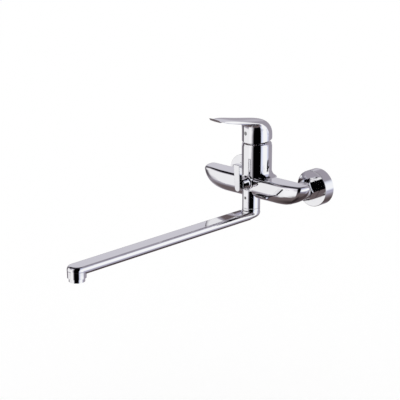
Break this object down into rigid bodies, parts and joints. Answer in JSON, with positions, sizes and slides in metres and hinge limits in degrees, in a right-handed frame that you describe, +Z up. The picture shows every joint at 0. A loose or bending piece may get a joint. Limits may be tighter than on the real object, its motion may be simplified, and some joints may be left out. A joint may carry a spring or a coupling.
{
  "type": "bath mixer tap",
  "caption": "Wall-mounted single-lever bath mixer with a swept cross body, round column, front diverter paddle and long swivel spout.",
  "frame": {"origin": "midway between the two wall inlets, on the finished wall", "axes": "+X along the wall to the user's right, +Y into the wall, +Z up"},
  "size_m": [0.2184, 0.509, 0.1896],
  "materials": {
    "chrome": "polished chrome plating",
    "brass": "turned bare brass",
    "ceramic": "lapped white ceramic",
    "plastic": "moulded acetal",
    "rubber": "moulded nitrile",
    "steel": "plain stainless",
    "cap": "smooth moulded"
  },
  "bodies": {
    "mixer": {"body_casting": "chrome", "shower_nipple": "brass", "port_seals": "rubber", "cartridge_base": "plastic", "fixed_ceramic_disc": "ceramic", "cartridge_housing": "plastic", "cartridge_nut": "brass", "trim_ring": "chrome", "diverter_seal": "rubber", "diverter_headwork": "brass", "diverter_fixed_disc": "ceramic", "diverter_shroud": "chrome", "spout_lock_screw": "steel", "spout_slip_ring": "plastic", "s_union_left": "brass", "flange_left": "chrome", "union_nut_left": "chrome", "union_gasket_left": "rubber", "inlet_nipple_left": "brass", "s_union_right": "brass", "flange_right": "chrome", "union_nut_right": "chrome", "union_gasket_right": "rubber", "inlet_nipple_right": "brass"},
    "turret": {"cartridge_turret": "plastic", "pivot_pin": "steel"},
    "lever": {"handle": "chrome", "handle_grub_screw": "steel", "index_cap": "cap", "lever_stem": "brass"},
    "disc": {"moving_ceramic_disc": "ceramic", "disc_carrier": "plastic"},
    "diverter": {"diverter_lever": "chrome", "diverter_grub_screw": "steel", "diverter_spindle": "brass", "diverter_spindle_seal": "rubber", "diverter_turning_disc": "ceramic"},
    "spout": {"spout_arm": "chrome", "spout_upper_o_ring": "rubber", "spout_lower_o_ring": "rubber", "aerator_housing": "chrome", "aerator_insert": "plastic", "aerator_gasket": "rubber"}
  },
  "joints": [
    {"name": "handle_turn", "type": "hinge", "parent": "mixer", "child": "turret", "pos_m": [0, -0.072, 0.07], "axis": [0, 0, 1], "range_deg": [-37, 53]},
    {"name": "handle_lift", "type": "hinge", "parent": "turret", "child": "lever", "pos_m": [0, -0.072, 0.06955], "axis": [-0.9903, 0.1392, 0], "range_deg": [0, 25]},
    {"name": "disc_slide", "type": "slide", "parent": "turret", "child": "disc", "axis": [-0.1392, -0.9903, 0], "range_m": [0, 0.0046]},
    {"name": "diverter_turn", "type": "hinge", "parent": "mixer", "child": "diverter", "pos_m": [0, -0.1, 0.022], "axis": [0, 1, 0], "range_deg": [0, 90]},
    {"name": "spout_swivel", "type": "hinge", "parent": "mixer", "child": "spout", "pos_m": [0, -0.085, -0.03], "axis": [0, 0, 1], "range_deg": [-90, 90]}
  ],
  "couplings": [
    {"joint": "disc_slide", "follows": "handle_lift", "m_per_rad": 0.0102}
  ]
}
